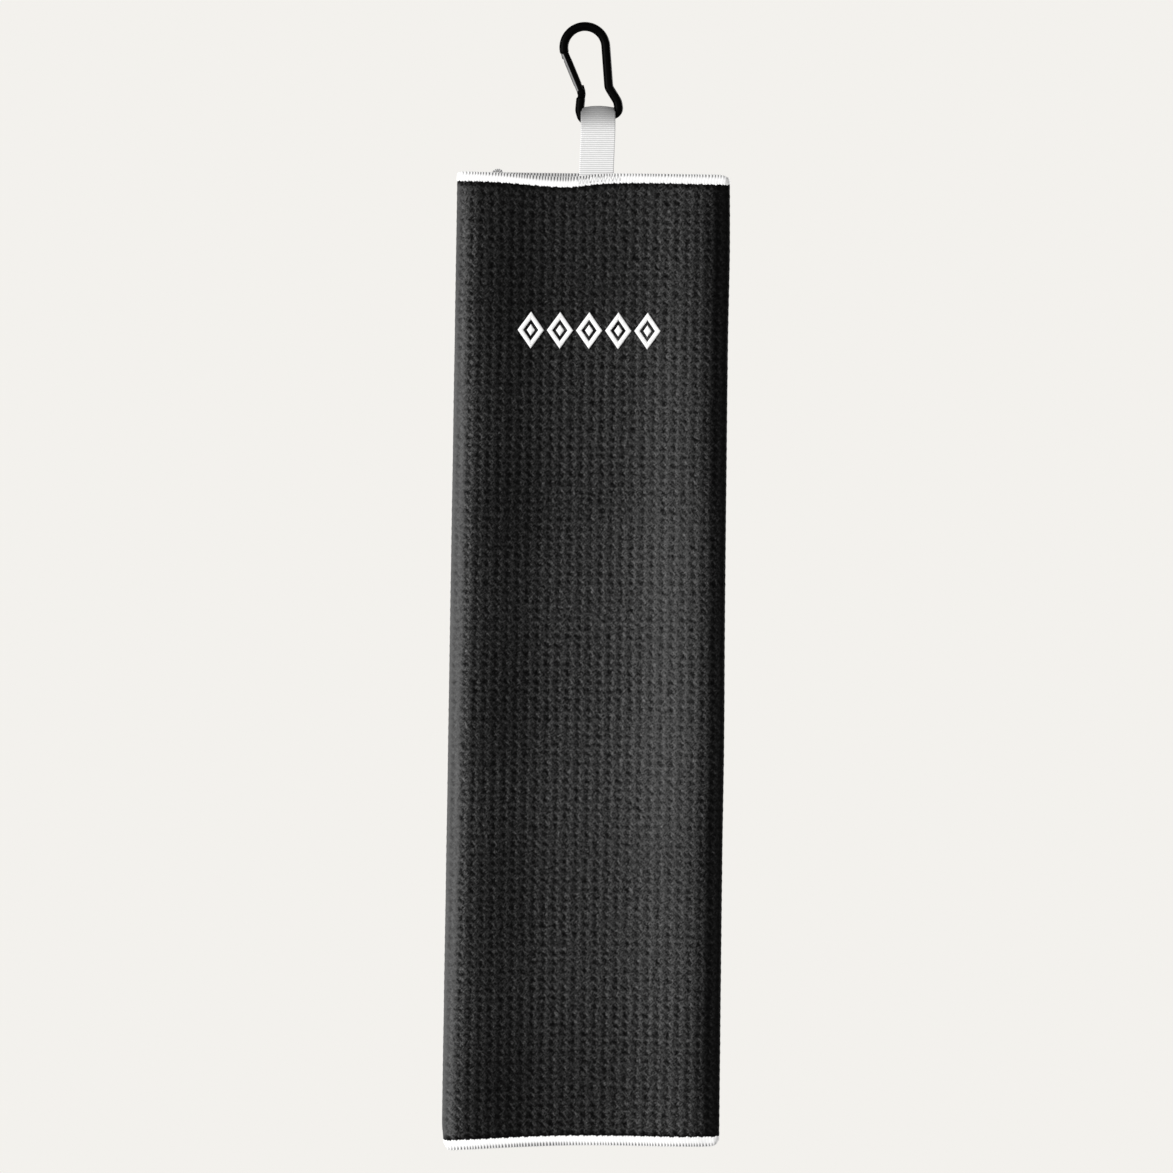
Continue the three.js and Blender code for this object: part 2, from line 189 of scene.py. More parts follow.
def tube_faces(rows, columns):
    """Walls of a tube of rings, and a ladder of quads over each end."""
    first, last = np.arange(columns), np.arange(columns) + (rows - 1) * columns
    return [grid_quads(rows, columns, wrap=True), ladder(first)[:, ::-1], ladder(last)]


def turned_out(points, faces):
    """The faces of a closed shell, turned round if the volume that they enclose is negative: the sum over
    their triangles of a . (b x c)."""
    volume = sum(
        np.einsum("ij,ij->", points[f[:, 0]], np.cross(points[f[:, a]], points[f[:, a + 1]]))
        for f in faces for a in range(1, f.shape[1] - 1)
    )
    return [f[:, ::-1] for f in faces] if volume < 0 else faces


def mesh_from(name, points, faces, plane=None, values=None):
    """A smooth mesh of these points in millimetres, its faces turned outwards. plane gives each point's
    place on the cloth, which becomes the UV map weave in centimetres."""
    points = np.asarray(points, float).reshape(-1, 3) / METRE
    faces = turned_out(points, faces)
    corners = np.concatenate([f.ravel() for f in faces]).astype(np.int32)
    sizes = np.concatenate([np.full(len(f), f.shape[1]) for f in faces])
    mesh = bpy.data.meshes.new(name)
    mesh.vertices.add(len(points))
    mesh.vertices.foreach_set("co", points.ravel())
    mesh.loops.add(len(corners))
    mesh.loops.foreach_set("vertex_index", corners)
    mesh.polygons.add(len(sizes))
    mesh.polygons.foreach_set("loop_start", np.concatenate([[0], np.cumsum(sizes)[:-1]]).astype(np.int32))
    mesh.update(calc_edges=True)
    mesh.polygons.foreach_set("use_smooth", np.ones(len(sizes), bool))
    if plane is not None:
        layer = mesh.uv_layers.new(name="weave")
        layer.data.foreach_set("uv", (np.reshape(plane, (-1, 2))[corners] / 10).ravel())
    for key, value in (values or {}).items():
        attribute = mesh.attributes.new(key, "FLOAT", "POINT")
        attribute.data.foreach_set("value", np.broadcast_to(value, len(points)).astype(np.float32))
    return mesh


def piece(name, mesh, material, replaces, body=None, between=None):
    """Shows a mesh as a piece that rides on one body, or, given between, stands unparented with its transform
    baked in; the bodies and line that between names are not used.
    """
    obj = bpy.data.objects.new(name, mesh)
    bpy.context.scene.collection.objects.link(obj)
    mesh.materials.append(material)
    if replaces:
        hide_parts(*replaces)
    if between:
        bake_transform(obj)
    else:
        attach(obj, body)
    return obj


# ---- Materials
def coloured(tree, shader, colour):
    """Feeds a colour or a level to the shader's base colour."""
    tree.links.new(colour, shader.inputs["Base Color"])


def material_base(name, roughness, sheen=0.0, specular=0.3, metallic=0.0):
    """A Principled material with its steady values on the shader's own sockets."""
    material = bpy.data.materials.new(name)
    material.use_nodes = True
    tree = material.node_tree
    shader = tree.nodes["Principled BSDF"]
    shader.inputs["Roughness"].default_value = roughness
    shader.inputs["Metallic"].default_value = metallic
    shader.inputs["Specular IOR Level"].default_value = specular
    shader.inputs["Sheen Weight"].default_value = sheen
    shader.inputs["Sheen Roughness"].default_value = 0.45
    return material, tree, shader


def attribute_of(tree, name):
    """A number stored on the mesh."""
    node = tree.nodes.new("ShaderNodeAttribute")
    node.attribute_name = name
    return node.outputs["Fac"]


def feed(tree, socket, value):
    """Gives a socket its steady value, or links it to the socket that it reads."""
    if isinstance(value, bpy.types.NodeSocket):
        tree.links.new(value, socket)
    else:
        socket.default_value = value


def mixed(tree, factor, low, high, blend="MIX"):
    """A colour mix; low and high are colours or sockets, and factor a number or a socket."""
    node = tree.nodes.new("ShaderNodeMix")
    node.data_type = "RGBA"
    node.blend_type = blend
    for socket, value in ((node.inputs[0], factor), (node.inputs[6], low), (node.inputs[7], high)):
        feed(tree, socket, value)
    return node.outputs[2]


def cloth_plane(tree):
    """The place on the flat cloth, in centimetres."""
    node = tree.nodes.new("ShaderNodeUVMap")
    node.uv_map = "weave"
    return node.outputs["UV"]


def scaled(tree, vector, scale, turn=0.0):
    """Coordinates turned about z and stretched."""
    node = tree.nodes.new("ShaderNodeMapping")
    node.inputs["Scale"].default_value = scale
    node.inputs["Rotation"].default_value = (0, 0, math.radians(turn))
    tree.links.new(vector, node.inputs["Vector"])
    return node.outputs["Vector"]


def noise(tree, vector, scale, detail=3.0):
    """Soft noise from 0 to 1."""
    node = tree.nodes.new("ShaderNodeTexNoise")
    node.inputs["Scale"].default_value = scale
    node.inputs["Detail"].default_value = detail
    tree.links.new(vector, node.inputs["Vector"])
    return node.outputs["Fac"]


def wave(tree, vector, scale, direction="X", distortion=0.0):
    """Sine bands from 0 to 1."""
    node = tree.nodes.new("ShaderNodeTexWave")
    node.bands_direction = direction
    node.inputs["Scale"].default_value = scale
    node.inputs["Distortion"].default_value = distortion
    node.inputs["Detail"].default_value = 2
    tree.links.new(vector, node.inputs["Vector"])
    return node.outputs["Fac"]


def bumped(tree, shader, *layers):
    """Bumps stacked on the shader's normal; each layer is a height, a strength and a depth in millimetres."""
    before = None
    for height, strength, depth in layers:
        node = tree.nodes.new("ShaderNodeBump")
        node.inputs["Strength"].default_value = strength
        node.inputs["Distance"].default_value = depth / METRE
        tree.links.new(height, node.inputs["Height"])
        if before:
            tree.links.new(before, node.inputs["Normal"])
        before = node.outputs["Normal"]
    tree.links.new(before, shader.inputs["Normal"])


def grey(level, warm=0.0):
    """A grey, a little warmer or cooler."""
    return (level * (1 + warm), level, level * (1 - warm), 1)


def object_place(tree):
    """Object coordinates, in metres."""
    return tree.nodes.new("ShaderNodeTexCoord").outputs["Object"]


def worked(tree, operation, *values):
    """One step of arithmetic; each value is a number or a socket."""
    node = tree.nodes.new("ShaderNodeMath")
    node.operation = operation
    for socket, value in zip(node.inputs, values):
        feed(tree, socket, value)
    return node.outputs[0]


def waffle_bump_and_painted_light(tree, plane):
    """The weave drawn on the cloth's plane, used as the bump and in the colour: each cell has a dark pit,
    longer down its slant than across it, and a bright ridge along the pit's upper right. In the colour the
    pit's darkness is painted shade and the ridge's brightness a painted highlight. With d down the slant and
    e across it, both in cells, the pit is exp(-5.5 d^2 - 20 e^2) and the ridge exp(-5.5 d^2 - 64 (e -
    0.29)^2).
    Soft noise pushes the plane about, so that no two cells match."""
    def do(operation, *values):
        return worked(tree, operation, *values)

    def pushed(turn, size, detail, amount):
        cloud = noise(tree, scaled(tree, plane, (1, 1, 1), turn), size, detail)
        return do("MULTIPLY", do("SUBTRACT", cloud, 0.5), amount)

    split = tree.nodes.new("ShaderNodeSeparateXYZ")
    tree.links.new(plane, split.inputs[0])
    a = do("ADD", do("MULTIPLY", split.outputs[0], 10.0), pushed(0, 2.1, 2, 3.0))
    b = do("ADD", do("MULTIPLY", split.outputs[1], -10.0), pushed(70, 2.3, 2, 2.8))
    a = do("ADD", a, pushed(30, 8.0, 3, 4.3))
    b = do("ADD", b, pushed(140, 8.0, 3, 4.3))
    p = do("FRACT", do("MULTIPLY_ADD", a, 1 / CELL_WIDTH, 0.3 - PIT_PHASE / (2 * math.pi)))
    q = do("FRACT", do("MULTIPLY_ADD", b, 1 / CELL_HEIGHT, 0.67 - ROW_PHASE / (2 * math.pi)))
    p, q = do("SUBTRACT", p, 0.4), do("SUBTRACT", q, 0.55)
    down = do("MULTIPLY_ADD", p, 0.45, do("MULTIPLY", q, 0.89))
    beside = do("MULTIPLY_ADD", p, 0.89, do("MULTIPLY", q, -0.45))
    fade = do("MULTIPLY", do("MULTIPLY", down, down), -5.5)
    from_ridge = do("MULTIPLY", do("SUBTRACT", beside, 0.29), 8.0)
    wedge = do("EXPONENT", do("MULTIPLY_ADD", do("MULTIPLY", beside, beside), -20.0, fade))
    ridge = do("EXPONENT", do("MULTIPLY_ADD", do("MULTIPLY", from_ridge, from_ridge), -1.0, fade))
    deep = do("ADD", pushed(200, 1.7, 1, 1.1), PIT_DEPTH)
    return do("SUBTRACT", do("MULTIPLY_ADD", ridge, 0.56, 1.01), do("MULTIPLY", wedge, deep))


def waffle_material():
    """Charcoal microfibre: painted shade in the pits and a painted highlight on the raised pile, with short
    yarns on both diagonals, smooth where the cloth is pulled round a fold, and lighter and darker in bands
    that are partly the nap and partly painted light and shade of the drape. Where these bands are dark,
    the weave shows in a stronger contrast."""
    material, tree, shader = material_base("waffle_microfibre", 0.95, sheen=0.05, specular=0.05)

    def do(operation, *values):
        return worked(tree, operation, *values)

    def yarns(turn, size):
        turned = scaled(tree, cloth_plane(tree), (1, 1, 1), turn)
        return noise(tree, scaled(tree, turned, (1, 0.42, 1)), size, 3)

    nap_and_painted_light, taut = attribute_of(tree, "nap_and_painted_light"), attribute_of(tree, "taut")
    woven_bump_and_painted_light = waffle_bump_and_painted_light(tree, cloth_plane(tree))
    twisted = do("MAXIMUM", yarns(-35, 9.5), yarns(42, 11.5))
    loose = do("SUBTRACT", 1.0, do("MULTIPLY", taut, 0.8))
    drawn = do("MULTIPLY_ADD", do("SUBTRACT", woven_bump_and_painted_light, 1.0), loose, 1.0)
    spun = do("MULTIPLY_ADD", do("MULTIPLY", do("SUBTRACT", twisted, 0.55), 5.4), loose, 1.0)
    # The weave's colour: painted shade in the pits and a painted highlight on the ridges, with yarns.
    weave_with_painted_light = do("MAXIMUM", do("MULTIPLY", do("MAXIMUM", drawn, 0.1), do("MAXIMUM", spun, 0.2)), 0.04)
    contrast = do("MULTIPLY_ADD", nap_and_painted_light, -1.6, 1.95)
    # The colour's level: the nap, and painted light and shade across the drape.
    level = do("MULTIPLY", do("POWER", weave_with_painted_light, contrast), do("MULTIPLY", nap_and_painted_light, 0.083))
    coloured(tree, shader, level)
    bumped(tree, shader, (woven_bump_and_painted_light, 0.6, 0.5), (twisted, 0.6, 0.3))
    return material


def thread_material(name, level, roughness, sheen, strand_scale):
    """White thread with fine strands; a stored number darkens it to show the dark edge between stitches, and
    on the hems painted shade as well.
    """
    material, tree, shader = material_base(name, roughness, sheen=sheen, specular=0.35)
    place = object_place(tree)
    clean = mixed(tree, noise(tree, place, 260), grey(level * 0.9), grey(level, 0.003))
    shown = mixed(tree, attribute_of(tree, "gap_and_painted_shade"), clean, grey(0.06))
    coloured(tree, shader, shown)
    strands = wave(tree, scaled(tree, place, (1, 1, 1), 12), strand_scale, distortion=2.0)
    bumped(tree, shader, (strands, 0.35, 0.05), (noise(tree, place, 1900), 0.4, 0.05))
    return material


def webbing_material():
    """Grosgrain tape, with painted shade between its ribs and painted shade where it turns round the clip's
    bar, darkest at its edges there.
    """
    material, tree, shader = material_base("grosgrain_webbing", 0.7, sheen=0.15, specular=0.25)
    place = object_place(tree)
    # Painted shade between the ribs: grey in the grooves, lighter on the crests.
    weave = mixed(tree, attribute_of(tree, "weave_with_painted_light"), grey(0.46), grey(0.74, 0.003))
    # Painted shade over the bar, where the tape turns away from the light.
    rubbed_specks_and_painted_shade = mixed(tree, attribute_of(tree, "crest_painted_shade"), weave, grey(0.13))
    mottled = mixed(tree, noise(tree, place, 420), grey(0.97), grey(1.02))
    coloured(tree, shader, mixed(tree, 1.0, rubbed_specks_and_painted_shade, mottled, "MULTIPLY"))
    warp = wave(tree, place, 380, "X", 0.6)
    bumped(tree, shader, (warp, 0.2, 0.06), (noise(tree, place, 2400), 0.12, 0.05))
    return material


def stabiliser_material():
    """Pressed non-woven fibres behind the embroidery."""
    material, tree, shader = material_base("pressed_stabiliser", 0.9, sheen=0.1)
    place = object_place(tree)
    fibres = noise(tree, scaled(tree, place, (1, 1, 3.5), 0), 900, 6)
    coloured(tree, shader, mixed(tree, fibres, grey(0.5), grey(0.74, 0.01)))
    bumped(tree, shader, (fibres, 0.6, 0.1))
    return material


def anodised_material():
    """Black anodised aluminium with a fine tooth and a few rubbed specks."""
    material, tree, shader = material_base("black_anodised", 0.42, specular=0.02)
    place = object_place(tree)
    rubbed_specks_and_painted_shade = noise(tree, place, 700, 5)
    coloured(tree, shader, mixed(tree, rubbed_specks_and_painted_shade, grey(0.0002), grey(0.001)))
    bumped(tree, shader, (noise(tree, place, 3000), 0.15, 0.03))
    return material


def steel_material():
    """Brushed steel, its lines running along the part."""
    material, tree, shader = material_base("brushed_steel", 0.55, specular=0.5, metallic=0.75)
    lines = noise(tree, scaled(tree, object_place(tree), (9, 9, 0.5)), 900, 4)
    coloured(tree, shader, mixed(tree, lines, grey(0.13), grey(0.22)))
    bumped(tree, shader, (lines, 0.15, 0.01))
    return material


waffle_microfibre = waffle_material()
overlock_thread = thread_material("overlock_thread", 0.8, 0.62, 0.1, 700)
satin_thread = thread_material("satin_thread", 0.84, 0.42, 0.08, 1100)
grosgrain = webbing_material()
stabiliser = stabiliser_material()
anodised = anodised_material()
steel = steel_material()


# ---- How the folded cloth hangs
def across_share(x):
    """How far x is from the left fold, 0, to the right fold, 1."""
    return np.clip((x - LEFT_X) / FRONT_WIDTH, 0, 1)


def front_swell(x, z):
    """How far the front stands out: a soft roll inside each fold and a shallow valley between them.
    It is a sum of bells across the towel that drift sideways and change height on the way down."""
    depth = -z / CLOTH_LENGTH
    u = across_share(x)
    drift = 0.022 * np.sin(2 * np.pi * depth * 1.3 + 0.6)
    swell = 1.8 * hill(u, 0.085 + drift / 2, 0.05) - 1.5 * hill(u, 0.33 + drift, 0.12)
    swell = swell + 2.6 * hill(u, 0.86 + drift / 2, 0.09) + 0.9 * hill(u, 0.62 - drift, 0.07)
    swell = swell + 0.35 * np.sin(2 * np.pi * (2.1 * depth + 0.8 * u)) * np.sin(np.pi * u)
    ends = ease(-z, 2, 55) * (1 - 0.6 * ease(-z, CLOTH_LENGTH - 60, CLOTH_LENGTH - 5))
    return swell * ends * ease(u, 0, 0.06) * ease(1 - u, 0, 0.06)


def rear_swell(x, z):
    """How far the leaves bow out at the back: one wide bell, weaker at the sewn top."""
    u, depth = across_share(x), -z / CLOTH_LENGTH
    bow = 1.5 * np.sin(np.pi * u) ** 2 + 0.5 * np.sin(np.pi * u) * np.sin(2 * np.pi * (1.4 * depth + u))
    return bow * ease(-z, 5, 120)


def settle(x, y, z, front):
    """Moves flat points to where they hang and gives them in the row frame. front is 1 on the front and
    0 on the leaves. The fold widens a little downwards, the lower edge lifts in the middle, and the
    front's top edge dips under the strap."""
    u, depth = across_share(x), np.clip(-z / CLOTH_LENGTH, 0, 1)
    left = 0.1 - 2.0 * depth + 1.3 * ease(depth, 0.97, 1)
    right = 0.2 + 0.8 * depth + 0.35 * hill(depth, 0.58, 0.06) + 0.5 * hill(depth, 0.08, 0.04)
    lift = -2.6 * (1 - u) ** 3 + 1.2 * np.sin(np.pi * u) ** 2 + 1.3 * u**3
    dip = -2.5 * hill(x, -19, np.where(x > -19, 11, 25)) * np.sin(np.pi * u) ** 0.5 * front
    sway = 0.7 * np.sin(2 * np.pi * u * 1.6 + 0.4) * front * ease(-z, -1, 3)
    raised = lift * depth**2 + dip * hill(depth, 0, 0.06) + 0.35 * sway * hill(depth, 0, 0.03)
    raised = raised + 1.0 * (1 - front) * depth**3
    moved_y = y - front * front_swell(x, z) + (1 - front) * rear_swell(x, z)
    return from_fold(x + left * (1 - u) + right * u, moved_y, z + raised)


def fold_line(s, tuck=0.0):
    """The fold's middle line seen from above at distance s from the left bend's rear end: x, y, and the
    outward direction. Straight runs and half circles; tuck bends the two rear ends inwards."""
    left_turn = np.clip(s, 0, LEFT_BEND) / LEFT_RADIUS + np.pi / 2
    right_start = LEFT_BEND + FRONT_WIDTH
    right_turn = np.clip(s - right_start, 0, RIGHT_BEND) / RIGHT_RADIUS - np.pi / 2
    on_front = (s > LEFT_BEND) & (s < right_start)
    on_left = s <= LEFT_BEND
    left_middle, right_middle = (FRONT_Y + INNER_Y) / 2, (FRONT_Y + OUTER_Y) / 2
    before, beyond = np.clip(-s, 0, None), np.clip(s - FOLD_LENGTH, 0, None)
    out_x = np.where(on_front, 0, np.where(on_left, np.cos(left_turn), np.cos(right_turn)))
    out_y = np.where(on_front, -1, np.where(on_left, np.sin(left_turn), np.sin(right_turn)))
    x_left = LEFT_X + LEFT_RADIUS * np.cos(left_turn) + before
    x_right = RIGHT_X + RIGHT_RADIUS * np.cos(right_turn) - beyond
    y_left = left_middle + LEFT_RADIUS * np.sin(left_turn) - tuck * ease(before, 0, 3)
    y_right = right_middle + RIGHT_RADIUS * np.sin(right_turn) - tuck * ease(beyond, 0, 3)
    x = np.where(on_front, LEFT_X + s - LEFT_BEND, np.where(on_left, x_left, x_right))
    y = np.where(on_front, FRONT_Y, np.where(on_left, y_left, y_right))
    return x, y, out_x, out_y


# ---- Waffle cloth
cell_random = np.random.default_rng(7).uniform(-1, 1, (160, 160))


def waffle(a, b):
    """Height of the weave, about -1 to 1, at a across and b down the cloth. Each cell has one upright
    leaf-shaped loop and, to its left, a slanting pit; both are bells on a circle, so cells join."""
    a = a + 0.45 * np.sin(b / 9.7 + 1.3) + 0.3 * np.sin(b / 31 + a / 60)
    b = b + 0.4 * np.sin(a / 7.9 + 0.5) + 0.25 * np.sin(a / 23)
    column, row = np.floor(a / CELL_WIDTH).astype(int), np.floor(b / CELL_HEIGHT).astype(int)
    size = 1 + 0.3 * cell_random[row % 160, column % 160]
    s, t = 2 * np.pi * a / CELL_WIDTH, 2 * np.pi * b / CELL_HEIGHT
    sway = np.sin(t - ROW_PHASE)
    upright = np.cos(t - ROW_PHASE) - 1
    loop = np.exp(1.5 * (np.cos(s - LOOP_PHASE - LOOP_SLANT * sway) - 1) + 1.25 * upright)
    pit = np.exp(2.0 * (np.cos(s - PIT_PHASE - PIT_SLANT * sway) - 1) + 0.95 * upright)
    return size * (1.5 * loop - 1.45 * pit) - 0.12


def nap_and_painted_light_of(u, z, seed=0.0):
    """How bright the cloth's colour is, where a half is the even finish: partly the brushed nap, partly
    painted
    light and shade. Bells across the cloth: a painted highlight on the left fold, painted shade beyond it,
    painted light before the right fold and painted shade on it, dimmer at both ends, and painted shade
    along both hems."""
    depth = -z / CLOTH_LENGTH
    # Painted light and shade: a highlight on the left fold, shade beyond it, light before the right fold and
    # shade on it.
    level = 0.64 + 2.15 * hill(u, 0.0, 0.026) - 0.35 * hill(u, 0.21, 0.1) + 0.7 * hill(u, 0.81, 0.12)
    level = level - 0.85 * hill(u, 1.0, 0.042)
    level = level + 0.05 * np.sin(9 * depth + 4 * u + seed) + 0.04 * np.sin(31 * depth + 2 * u)
    # Painted shade on the cloth next to the top and bottom hems.
    shade = 1 - 0.8 * (hill(z, CLOTH_TOP - 1.4, 1.5) + hill(z, CLOTH_BOTTOM + 1.4, 1.5))
    ends = 1 - 0.48 * hill(depth, 0, 0.2) - 0.36 * hill(depth, 1, 0.16)
    return shade * np.clip(np.clip(level, 0.1, None) * ends / 2, 0, 1)


def front_cloth_mesh():
    """The front and both bends as one closed sheet: a fine outer face that carries the weave, a plain
    inner face with a quarter of the points each way, and a strip of fans between their edges."""
    fine, columns, rows = 4, 45, 125
    s = np.linspace(-TUCK_LENGTH, FOLD_LENGTH + TUCK_LENGTH, fine * columns + 1)[None, :]
    z = np.linspace(CLOTH_TOP, CLOTH_BOTTOM, fine * rows + 1)[:, None]
    x, y, out_x, out_y = fold_line(s, TUCK_DEPTH)
    on_right_bend = ease(s, FOLD_LENGTH - 12, FOLD_LENGTH - 8)
    on_bend = np.maximum(1 - ease(s, LEFT_BEND - 2, LEFT_BEND + 1), on_right_bend)
    weave = waffle(s, -z)
    pressed = hill(x, MOTIF_X, 42) ** 4 * hill(z, -MOTIF_DROP, 14) ** 2
    relief = RELIEF * weave * (1 - 0.75 * on_bend) * (1 - 0.5 * pressed)
    height = CLOTH_HALF + relief
    outer = settle(x + out_x * height, y + out_y * height, z + 0 * s, np.ones_like(height))
    inner = settle(x - out_x * CLOTH_HALF, y - out_y * CLOTH_HALF, z + 0 * s, np.ones_like(height))
    inner = inner[::fine, ::fine]
    outer_number = np.arange(outer.size // 3).reshape(outer.shape[:2])
    inner_number = np.arange(inner.size // 3).reshape(inner.shape[:2]) + outer_number.size

    def edge_loop(number):
        sides = [number[0, ::-1], number[:, 0], number[-1], number[::-1, -1]]
        return np.concatenate([side[:-1] for side in sides] + [sides[0][:1]])

    long_edge, short_edge = edge_loop(outer_number), edge_loop(inner_number)
    i = np.arange(len(long_edge) - 1)
    fans = np.stack([long_edge[i], long_edge[i + 1], short_edge[(i + fine // 2) // fine]], -1)
    c = np.arange(len(short_edge) - 1)
    links = np.stack([short_edge[c + 1], short_edge[c], long_edge[fine * c + fine // 2]], -1)
    walls = grid_quads(*outer.shape[:2])
    back = grid_quads(*inner.shape[:2], first=outer_number.size)[:, ::-1]
    flat = np.stack(np.broadcast_arrays(s, z), -1)
    taut = 0.95 * (1 - ease(s, LEFT_BEND - 2.5, LEFT_BEND + 0.8)) + 0 * weave
    taut = taut + 0.5 * ease(s, FOLD_LENGTH - 11, FOLD_LENGTH - 8)
    # Brightness of the colour: partly the nap, partly painted light and shade.
    nap_and_painted_light = nap_and_painted_light_of(across_share(x), z) + 0 * weave
    both = lambda grid: np.concatenate([grid.ravel(), grid[::fine, ::fine].ravel()])
    return mesh_from(
        "front_cloth",
        np.concatenate([outer.reshape(-1, 3), inner.reshape(-1, 3)]),
        [walls, back, fans, links],
        np.concatenate([flat.reshape(-1, 2), flat[::fine, ::fine].reshape(-1, 2)]),
        {"taut": both(taut), "nap_and_painted_light": both(nap_and_painted_light)},
    )


def leaf_mesh(name, hinge_x, y, direction, shift):
    """A leaf as a closed sheet: rings round its section, with the weave on both faces and a round end at
    the fold, carried down the leaf."""
    across = np.linspace(HINGE_INSET, LEAF_WIDTH - 1.2, 106)
    turn = np.radians(np.linspace(115, 245, 6))
    ring_x = np.concatenate([across[::-1], HINGE_INSET + 0.6 * np.cos(turn), across])
    face = np.concatenate([np.ones(106), np.sin(turn), -np.ones(106)])
    z = np.linspace(CLOTH_TOP, CLOTH_BOTTOM, 420)[:, None]
    weave = waffle(ring_x + shift, -z + np.where(face > 0, 0, CELL_HEIGHT / 2))
    flat_part = ease(ring_x, HINGE_INSET, HINGE_INSET + 3)
    half = 0.3 + 0.62 * RELIEF * np.clip(weave, -0.7, 1.2) * flat_part + 0.2 * (1 - flat_part)
    x = hinge_x + direction * ring_x + 0 * z
    points = settle(x, y + face * half, z + 0 * ring_x, 0.0)
    flat = np.stack(np.broadcast_arrays(ring_x + shift, z), -1)
    # The leaves' brightness: partly the nap, partly painted light and shade.
    values = {
        "taut": (0.5 * (1 - flat_part) + 0 * weave).ravel(),
        "nap_and_painted_light": (0.45 * nap_and_painted_light_of(across_share(x), z, shift) + 0.17).ravel(),
    }
    return mesh_from(name, points, tube_faces(*points.shape[:2]), flat, values)


# ---- Overlocked hems
def overlock_mesh(name, place, length, front_of, bends=()):
    """A band of stitches over an edge. Rings round the section are carried along the edge: the section is a
    flat oval, each stitch swells it by |sin|, the inner rim is scalloped and wanders, and knots sit on the
    outer rim with a dark gap between each two, pulled shut at the bends. Round x = -28 painted shade darkens
    the gaps and greys the outer half between them. place(s, inward, face) gives flat x, y and z."""
    steps = max(int(length / STITCH_PITCH) * STITCH_STEPS, 24)
    s = np.linspace(0, length, steps + 1)[:, None]
    turn = np.linspace(0, 2 * np.pi, 22, endpoint=False)[None, :]
    inward_share = 0.5 - 0.5 * np.cos(turn)
    jitter = 0.12 * np.sin(s / 3.7) + 0.1 * np.sin(s / 1.9 + 2)
    phase = np.pi * (s / STITCH_PITCH + 0.35 * inward_share * np.sign(np.sin(turn)) + jitter)
    stitch = np.abs(np.sin(phase)) ** 0.7
    rim, inner_rim = hill(inward_share, 0.05, 0.09), ease(inward_share, 0.8, 1)
    half = (HEM_HALF - 0.1 + 0.11 * stitch) * np.sign(np.sin(turn)) * np.abs(np.sin(turn)) ** 0.55
    half = half + 0.28 * rim * stitch * np.sign(np.sin(turn))
    wander = 0.15 * np.sin(s * 1.9 + 1.5 * np.sin(s / 11)) + 0.13 * np.sin(s * 1.19 + 2)
    inward = HEM_HEIGHT * inward_share + inner_rim * (0.5 * (stitch - 0.5) + wander)
    inward = inward - 0.5 * rim * (stitch - 0.4)
    ends = np.minimum(ease(s, -0.2, 1.6), ease(length - s, -0.2, 1.6))
    x, y, z = place(s, inward, half * ends)
    points = settle(x, y, z, front_of(s) + 0 * half)
    # Painted shade on the hems round x = -28: darker gaps, and grey between them on the outer half.
    painted_shade_patch = hill(x, -28, 17)
    groove = (1 - ease(stitch, 0.5, 0.97)) * hill(inward_share, 0.15, 0.105 + 0.02 * painted_shade_patch)
    strength = 0.77 + 0.12 * painted_shade_patch + 0.25 * hill(x, 55, 22) + 0.15 * np.sin(s / 23.0) + 0.15 * np.sin(s / 7.3)
    between = 0.5 * painted_shade_patch * (1 - 0.6 * ease(stitch, 0.3, 0.95)) * (1 - ease(inward_share, 0.12, 0.62))
    open_part = 1 - sum(hill(s, bend, 3.6) for bend in bends)
    gap_and_painted_shade = open_part * np.clip(1.5 * groove * np.clip(strength, 0.3, 1) + between, 0, 0.95) + 0 * half
    return mesh_from(name, points, tube_faces(*points.shape[:2]), values={"gap_and_painted_shade": gap_and_painted_shade.ravel()})


def along_fold(start, top, direction, left_round, right_round, pull):
    """Places a band along the fold line from s = start, at the edge of height top; direction is -1 where
    the cloth lies below the edge and 1 where it lies above. At the bends the outer rim is rounded off and
    pulled in."""
    def place(s, inward, face):
        t = s + start
        x, y, out_x, out_y = fold_line(t)
        left, right = hill(t, LEFT_BEND / 2, 2.0), hill(t, FOLD_LENGTH - RIGHT_BEND / 2, 2.8)
        rim = np.clip(1 - inward / HEM_HEIGHT, 0, 1)
        rise = inward + (left_round * left + right_round * right) * rim**1.5
        stand = face * (1 - 0.1 * (left + right)) - pull * (left + right) * rim**2.5
        return x + out_x * stand, y + out_y * stand, top + direction * rise
    return place


def front_share(start):
    """1 along the front and its bends, 0 on the leaves, with a short change inside each bend."""
    def share(s):
        t = s + start
        return ease(t, 1, LEFT_BEND) * ease(FOLD_LENGTH - t, 1, RIGHT_BEND)
    return share


def along_leaf_end(hinge_x, y, direction):
    """Places a band along the lower end of a leaf."""
    def place(s, inward, face):
        return hinge_x + direction * (s + 0.6), y + face, -CLOTH_LENGTH + inward
    return place


def down_leaf_side(hinge_x, y, direction):
    """Places a band down the free side of a leaf."""
    def place(s, inward, face):
        return hinge_x + direction * (LEAF_WIDTH - inward), y + face, CLOTH_TOP + 0.4 - s + 0 * inward
    return place


# ---- Round threads and wire
def directions(line):
    """Unit directions along a line of points."""
    along = np.gradient(line, axis=0)
    return along / np.linalg.norm(along, axis=1)[:, None]


def bar_rings(path, radius, sides):
    """x, y and z of a round bar along a path in the x-z plane: circles of the radius, square to the path."""
    along = directions(path)
    turn = np.linspace(0, 2 * np.pi, sides, endpoint=False)[None, :]
    radius = np.broadcast_to(radius, len(path))[:, None]
    x = path[:, :1] - along[:, 1:] * radius * np.cos(turn)
    z = path[:, 1:] + along[:, :1] * radius * np.cos(turn)
    return x, radius * np.sin(turn), z


